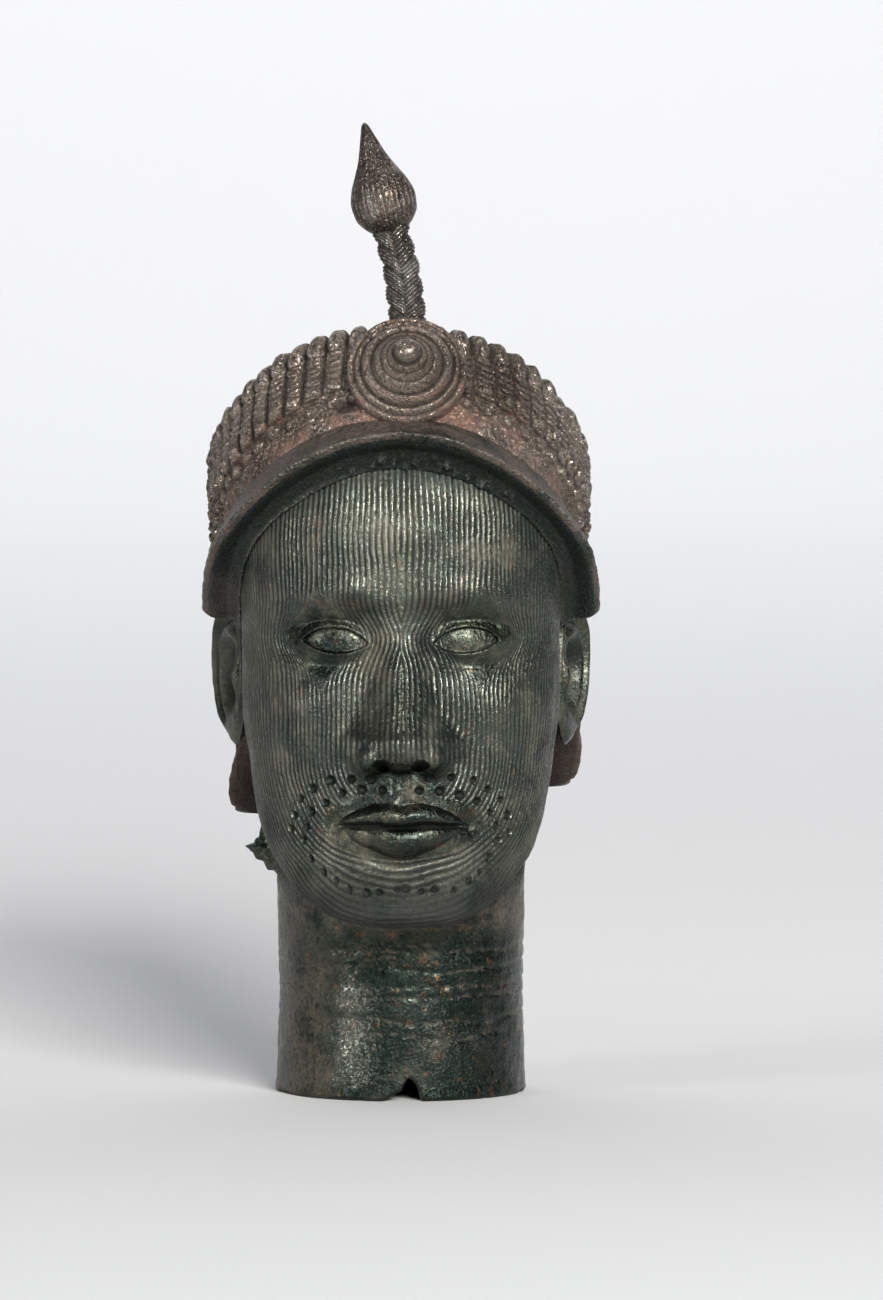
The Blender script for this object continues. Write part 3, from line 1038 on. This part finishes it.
class Value:
    """A socket that takes part in arithmetic: each operator adds its Math node."""

    def __init__(self, shader, socket):
        self.shader = shader
        self.socket = socket

    def math(self, operation, *others):
        node = self.shader.node("ShaderNodeMath", {"operation": operation}, dict(enumerate((self, *others))))
        return Value(self.shader, node.outputs[0])

    def __add__(self, other):
        return self.math("ADD", other)

    __radd__ = __add__

    def __mul__(self, other):
        return self.math("MULTIPLY", other)

    __rmul__ = __mul__

    def __sub__(self, other):
        return self.math("SUBTRACT", other)

    def __rsub__(self, other):
        return (self * -1.0) + other

    def band(self, low, high):
        """0 below low, 1 above high and a smooth step between."""
        node = self.shader.node("ShaderNodeMapRange", {"interpolation_type": "SMOOTHSTEP"},
                                {"Value": self, "From Min": low, "From Max": high})
        return Value(self.shader, node.outputs[0])


class Shader:
    """The node tree of one material, with its Object coordinates at hand."""

    def __init__(self, name):
        self.material = bpy.data.materials.new(name)
        self.material.use_nodes = True
        self.tree = self.material.node_tree
        self.tree.nodes.clear()
        self.place = self.node("ShaderNodeTexCoord").outputs["Object"]

    def node(self, kind, settings=None, sockets=None):
        """Adds a node, sets its settings, then gives its sockets their values or links."""
        made = self.tree.nodes.new(kind)
        for key, value in (settings or {}).items():
            setattr(made, key, value)
        for key, value in (sockets or {}).items():
            if isinstance(value, Value):
                value = value.socket
            if isinstance(value, bpy.types.NodeSocket):
                self.tree.links.new(value, made.inputs[key])
            else:
                made.inputs[key].default_value = value
        return made

    def mark(self, name):
        node = self.node("ShaderNodeAttribute", {"attribute_type": "GEOMETRY", "attribute_name": name})
        return Value(self, node.outputs["Fac"])

    def noise(self, scale, detail=4.0, roughness=0.55, offset=0.0):
        moved = self.node("ShaderNodeMapping", None, {"Vector": self.place, "Location": (offset,) * 3})
        node = self.node("ShaderNodeTexNoise", None, {
            "Vector": moved.outputs[0], "Scale": scale, "Detail": detail, "Roughness": roughness})
        return Value(self, node.outputs["Fac"])

    def blend(self, factor, a, b):
        """The colour a turning into b as factor goes from 0 to 1."""
        node = self.node("ShaderNodeMix", {"data_type": "RGBA"}, {0: factor, 6: a, 7: b})
        return node.outputs[2]

    def finish(self, **sockets):
        """Adds the surface and the output, and hands over the material."""
        named = {label.replace("_", " "): value for label, value in sockets.items()}
        surface = self.node("ShaderNodeBsdfPrincipled", None, named)
        output = self.node("ShaderNodeOutputMaterial")
        self.tree.links.new(surface.outputs[0], output.inputs["Surface"])
        return self.material


def rgb(colour):
    return (*colour, 1.0)


def make_patina(name, ground, cloud, stain, stain_share, shine, spots=0.0, relief=1.0, grit=1.0,
                paint=None, dirt=None):
    """Aged metal: glossy ground, clouds and matte stains, dark grooves, painted and polished places.

    ground, cloud and stain are colours, stain_share says how much of the surface the stains take,
    shine is the roughness of the plain metal, spots adds rusty flecks, relief scales the grain, grit
    says how much its roughness varies, and paint and dirt colour painted places and grooves.
    """
    shader = Shader(name)
    groove, painted, wear = shader.mark("groove"), shader.mark("paint"), shader.mark("wear")
    broad = shader.noise(24, 4, 0.6)
    patches = shader.noise(70, 5, 0.62, 3.1)
    grain = shader.noise(620, 4, 0.65, 1.7)
    speck = shader.noise(900, 2, 0.5, 5.3).band(0.46, 0.6)
    colour = shader.blend(broad.band(0.36, 0.64), rgb(ground), rgb(cloud))
    stained = patches.band(0.6 - 0.3 * stain_share, 0.84 - 0.3 * stain_share)
    stained = stained * (0.45 + 0.55 * grain.band(0.4, 0.6))
    colour = shader.blend(stained * 0.85, colour, rgb(stain))
    flecks = shader.noise(190, 5, 0.65, 9.4).band(0.58, 0.7)
    colour = shader.blend(flecks * (0.12 + spots), colour, rgb(colours().rust))
    painted = painted * patches.band(0.3, 0.55) * (0.4 + 0.6 * grain.band(0.35, 0.62))
    colour = shader.blend(painted * 0.9, colour, rgb(paint or colours().paint))
    polished = wear * (1 - grit + speck * grit)
    colour = shader.blend(polished * 0.7, colour, rgb(colours().worn))
    dark = (groove + grain.band(0.56, 0.72) * 0.55).band(0.1, 0.9)
    colour = shader.blend(dark * 0.9, colour, rgb(dirt or colours().grime))
    rough = shine + (1 - speck) * (0.16 * grit) + stained * 0.15 + dark * 0.4 + painted * 0.25
    metallic = 0.95 - stained * 0.5 - painted * 0.7 - dark * 0.4
    height = speck * 0.5 - grain.band(0.5, 0.72) * 0.8
    bump = shader.node("ShaderNodeBump", None, {
        "Strength": 1.0, "Distance": 0.0004 * relief, "Height": height})
    return shader.finish(Base_Color=colour, Roughness=rough, Metallic=metallic, Normal=bump.outputs[0],
                         Specular_IOR_Level=0.5)


def material(name):
    """The finished material of that name, made when it is first asked for."""
    ready = bpy.data.materials.get(name)
    if ready:
        return ready
    c = colours()
    recipes = {
        "skin_bronze": dict(ground=c.green_dark, cloud=c.green_light, stain=c.olive, stain_share=0.45,
                            shine=0.2, spots=0.1, relief=0.35, grit=0.5, paint=c.drab),
        "neck_bronze": dict(ground=c.green_deep, cloud=c.green_dark, stain=c.brown, stain_share=0.32,
                            shine=0.16, spots=0.3, relief=0.5, grit=0.8, paint=c.sand),
        "crown_bronze": dict(ground=c.crown_dark, cloud=c.crown_light, stain=c.olive, stain_share=0.5,
                             shine=0.2, relief=1.5, dirt=c.umber),
        "brim_bronze": dict(ground=c.green_dark, cloud=c.green_dark, stain=c.grime, stain_share=0.4,
                            shine=0.24, relief=1.2, paint=c.crown_dark),
        "plume_bronze": dict(ground=c.plume_dark, cloud=c.crown_dark, stain=c.plume_light, stain_share=0.4,
                             shine=0.15, relief=0.6),
    }
    return make_patina(name, **recipes[name])


# Settings that a user would change.

def length_setting(name, description, default, low=0.0, high=0.1):
    return bpy.props.FloatProperty(name=name, description=description, default=default, min=low, max=high,
                                   unit="LENGTH", subtype="DISTANCE", precision=5)


def colour_setting(name, description, default):
    return bpy.props.FloatVectorProperty(name=name, description=description, default=default, min=0.0,
                                         max=1.0, size=3, subtype="COLOR")


class CastHeadSizes(bpy.types.PropertyGroup):
    """Sizes of the carving, in metres."""

    line_pitch: length_setting("Line pitch", "Distance between two carved lines of the skin", 0.00156, 0.001)
    line_depth: length_setting("Line depth", "How deep the carved lines are", 0.0005)
    column_relief: length_setting("Column relief", "How far the crown's columns stand out", 0.0024)


class CastHeadColours(bpy.types.PropertyGroup):
    """Colours of the patina, in linear light."""

    green_dark: colour_setting("Dark green", "Ground colour of the skin and the brim", (0.028, 0.036, 0.031))
    green_light: colour_setting("Grey green", "Clouds on the skin", (0.076, 0.085, 0.063))
    green_deep: colour_setting("Deep green", "Ground colour of the neck", (0.011, 0.020, 0.015))
    olive: colour_setting("Olive", "Stains on the skin", (0.120, 0.112, 0.075))
    brown: colour_setting("Brown", "Stains on the neck", (0.042, 0.036, 0.027))
    crown_dark: colour_setting("Dark crown brown", "Ground colour of the crown", (0.120, 0.086, 0.068))
    crown_light: colour_setting("Crown grey", "Clouds on the crown", (0.290, 0.245, 0.212))
    plume_dark: colour_setting("Plume grey", "Ground colour of the plume", (0.062, 0.054, 0.048))
    plume_light: colour_setting("Plume silver", "Bright places of the plume", (0.240, 0.225, 0.210))
    paint: colour_setting("Old red paint", "Paint left in the crown", (0.250, 0.120, 0.085))
    rust: colour_setting("Rust", "Small flecks", (0.230, 0.100, 0.045))
    worn: colour_setting("Worn metal", "Edges polished by hands", (0.420, 0.420, 0.375))
    sand: colour_setting("Sand", "Pale dust in the creases of the neck", (0.130, 0.108, 0.078))
    drab: colour_setting("Drab", "Matte patina on one cheek and the jaw", (0.056, 0.054, 0.041))
    umber: colour_setting("Umber", "The bottom of the crown's grooves", (0.022, 0.014, 0.010))
    grime: colour_setting("Grime", "The bottom of grooves", (0.008, 0.010, 0.008))


class CastHeadStage(bpy.types.PropertyGroup):
    """Camera, floor and light."""

    camera_distance: length_setting("Camera distance", "From the middle of the head", 1.9, 0.5, 10.0)
    camera_height: length_setting("Camera height", "Above the floor", 0.19, 0.0, 5.0)
    floor_colour: colour_setting("Floor", "Colour of the floor", (0.64, 0.65, 0.665))
    wall_colour: colour_setting("Backdrop", "Colour of the backdrop", (0.82, 0.82, 0.825))


# Operators: one for each piece or group of like pieces, and one for the stage.

class CastHeadFace(bpy.types.Operator):
    """Builds the face with its carved lines, and the plain nape"""

    bl_idname = "cast_head.face"
    bl_label = "Face and nape"

    def execute(self, context):
        make_face(material("skin_bronze"))
        make_nape(material("skin_bronze"))
        return {"FINISHED"}


class CastHeadNeck(bpy.types.Operator):
    """Builds the neck, the hollow inside and the torn place"""

    bl_idname = "cast_head.neck"
    bl_label = "Neck and hollow"

    def execute(self, context):
        make_neck(material("neck_bronze"))
        make_torn_place(material("skin_bronze"))
        return {"FINISHED"}


class CastHeadEars(bpy.types.Operator):
    """Builds the two ears"""

    bl_idname = "cast_head.ears"
    bl_label = "Ears"

    def execute(self, context):
        make_ears(material("skin_bronze"))
        return {"FINISHED"}


class CastHeadCrown(bpy.types.Operator):
    """Builds the crown's columns and the beaded dome inside them"""

    bl_idname = "cast_head.crown"
    bl_label = "Crown"

    def execute(self, context):
        make_crown(material("crown_bronze"))
        make_dome(material("crown_bronze"))
        return {"FINISHED"}


class CastHeadBrim(bpy.types.Operator):
    """Builds the plain brim over the forehead"""

    bl_idname = "cast_head.brim"
    bl_label = "Brim"

    def execute(self, context):
        make_brim(material("brim_bronze"))
        return {"FINISHED"}


class CastHeadPlume(bpy.types.Operator):
    """Builds the rosette, the plaited stem and the bud"""

    bl_idname = "cast_head.plume"
    bl_label = "Rosette and plume"

    def execute(self, context):
        make_rosette(material("crown_bronze"))
        make_stem(material("plume_bronze"))
        make_bud(material("plume_bronze"))
        return {"FINISHED"}


IMAGE_WIDTH, IMAGE_HEIGHT = 883, 1300
PIXELS_PER_METRE = 2755.0
MIDDLE_COLUMN, LEVEL_ROW = 401.0, 567.7
SENSOR_HEIGHT = 24.0
WORLD_COLOUR, WORLD_STRENGTH = (0.86, 0.91, 1.0), 0.1
# Name, place, target, width, height, power and colour of each light.
LIGHTS = [("key_light", (0.80, -2.54, 1.22), (0, 0, 0.14), 1.2, 0.8, 118, (1.0, 0.985, 0.96)),
          ("side_light", (-1.8, -1.35, 0.42), (0, 0, 0.3), 0.6, 0.84, 17, (1.0, 0.97, 0.92)),
          ("top_light", (0.0, 2.2, 2.2), (0, 2.3, 0.2), 5.0, 1.6, 48, (0.96, 0.97, 1.0))]
# The floor in metres: half its width, where the slope starts, how far it takes to reach its full
# steepness, and where the backdrop starts, how fast it turns up, where it ends and how high it goes.
FLOOR_REACH, SLOPE_Y, SLOPE_RUN, SLOPE = 14.0, 0.06, 0.3, 0.1
BACKDROP_Y, BACKDROP_CURVE, BACKDROP_END_Y, BACKDROP_TOP_Z = 2.3, 1.2, 3.6, 4.5


def aim(thing, target):
    """Turns a light or camera so that it looks at the target."""
    away = Vector(target) - thing.location
    thing.rotation_euler = away.to_track_quat("-Z", "Y").to_euler()


def add_light(name, place, target, width, height, power, colour):
    lamp = bpy.data.lights.new(name, "AREA")
    lamp.shape = "RECTANGLE"
    lamp.size, lamp.size_y = width, height
    lamp.energy = power
    lamp.color = colour
    thing = put_object(name, lamp)
    thing.location = place
    aim(thing, target)


class CastHeadStageSet(bpy.types.Operator):
    """Builds the floor and backdrop, the lights and the camera"""

    bl_idname = "cast_head.stage"
    bl_label = "Stage"

    def execute(self, context):
        scene = context.scene
        stage = scene.cast_head_stage
        self.add_floor(stage)
        world = bpy.data.worlds.new("pale_room")
        world.use_nodes = True
        ground = world.node_tree.nodes["Background"]
        ground.inputs["Color"].default_value = rgb(WORLD_COLOUR)
        ground.inputs["Strength"].default_value = WORLD_STRENGTH
        scene.world = world
        for light in LIGHTS:
            add_light(*light)
        scene.view_settings.view_transform = "Standard"
        self.add_camera(scene, stage)
        return {"FINISHED"}

    def add_floor(self, stage):
        """A floor that starts to slope gently behind the head, and farther back turns up into a
        backdrop: a straight slope, plus the square of the distance past a line."""
        x = np.linspace(-FLOOR_REACH, FLOOR_REACH, 57)
        y = np.concatenate([np.linspace(-FLOOR_REACH, 0, 57), np.linspace(SLOPE_Y, BACKDROP_END_Y, 119),
                            [BACKDROP_END_Y]])
        past = np.maximum(y - SLOPE_Y, 0)
        rise = np.where(past < SLOPE_RUN, past ** 2 / (2 * SLOPE_RUN), past - SLOPE_RUN / 2)
        z = SLOPE * rise + BACKDROP_CURVE * np.maximum(y - BACKDROP_Y, 0) ** 2
        z[-1] = BACKDROP_TOP_Z
        x, z = np.meshgrid(x, z, indexing="ij")
        points = np.stack([x, np.broadcast_to(y, x.shape), z], -1)
        mesh = bpy.data.meshes.new("floor")
        mesh.from_pydata(points.reshape(-1, 3).tolist(), [], grid_triangles(*x.shape).tolist())
        mesh.shade_smooth()
        shader = Shader("pale_floor")
        split = shader.node("ShaderNodeSeparateXYZ", None, {0: shader.place})
        far = Value(shader, split.outputs["Y"]).band(-0.8, 0.5)
        colour = shader.blend(far, rgb(stage.floor_colour), rgb(stage.wall_colour))
        mesh.materials.append(shader.finish(Base_Color=colour, Roughness=0.85))
        floor = put_object("floor", mesh)

    def add_camera(self, scene, stage):
        """A long, level lens. Shifts put its own height on LEVEL_ROW of the picture and the middle of
        the head on MIDDLE_COLUMN."""
        lens = bpy.data.cameras.new("camera")
        lens.sensor_fit = "VERTICAL"
        lens.sensor_height = SENSOR_HEIGHT
        lens.lens = SENSOR_HEIGHT * stage.camera_distance / (IMAGE_HEIGHT / PIXELS_PER_METRE)
        camera = put_object("camera", lens)
        camera.location = (0, -stage.camera_distance, stage.camera_height)
        aim(camera, (0, 0, stage.camera_height))
        lens.shift_x = (IMAGE_WIDTH / 2 - MIDDLE_COLUMN) / IMAGE_HEIGHT
        lens.shift_y = (LEVEL_ROW - IMAGE_HEIGHT / 2) / IMAGE_HEIGHT
        lens.clip_end = 50
        scene.camera = camera


class CastHeadPanel(bpy.types.Panel):
    """Lists the settings and the build steps in the sidebar"""

    bl_idname = "VIEW3D_PT_cast_head"
    bl_label = "Cast Head"
    bl_space_type = "VIEW_3D"
    bl_region_type = "UI"
    bl_category = "Cast Head"

    def draw(self, context):
        for group in GROUPS:
            settings = getattr(context.scene, GROUPS[group])
            box = self.layout.box()
            for name in settings.bl_rna.properties.keys():
                if name not in ("rna_type", "name"):
                    box.prop(settings, name)
        for operator in OPERATORS:
            self.layout.operator(operator.bl_idname)


GROUPS = {CastHeadSizes: "cast_head_sizes", CastHeadColours: "cast_head_colours",
          CastHeadStage: "cast_head_stage"}
OPERATORS = (CastHeadFace, CastHeadNeck, CastHeadEars, CastHeadCrown, CastHeadBrim, CastHeadPlume,
             CastHeadStageSet)


def register():
    for cls in (*GROUPS, *OPERATORS, CastHeadPanel):
        bpy.utils.register_class(cls)
    for group, name in GROUPS.items():
        setattr(bpy.types.Scene, name, bpy.props.PointerProperty(type=group))


def unregister():
    for name in GROUPS.values():
        delattr(bpy.types.Scene, name)
    for cls in reversed((*GROUPS, *OPERATORS, CastHeadPanel)):
        bpy.utils.unregister_class(cls)


def main():
    register()
    bpy.ops.cast_head.face()
    bpy.ops.cast_head.neck()
    bpy.ops.cast_head.ears()
    bpy.ops.cast_head.crown()
    bpy.ops.cast_head.brim()
    bpy.ops.cast_head.plume()
    bpy.ops.cast_head.stage()


if __name__ == "__main__":
    main()
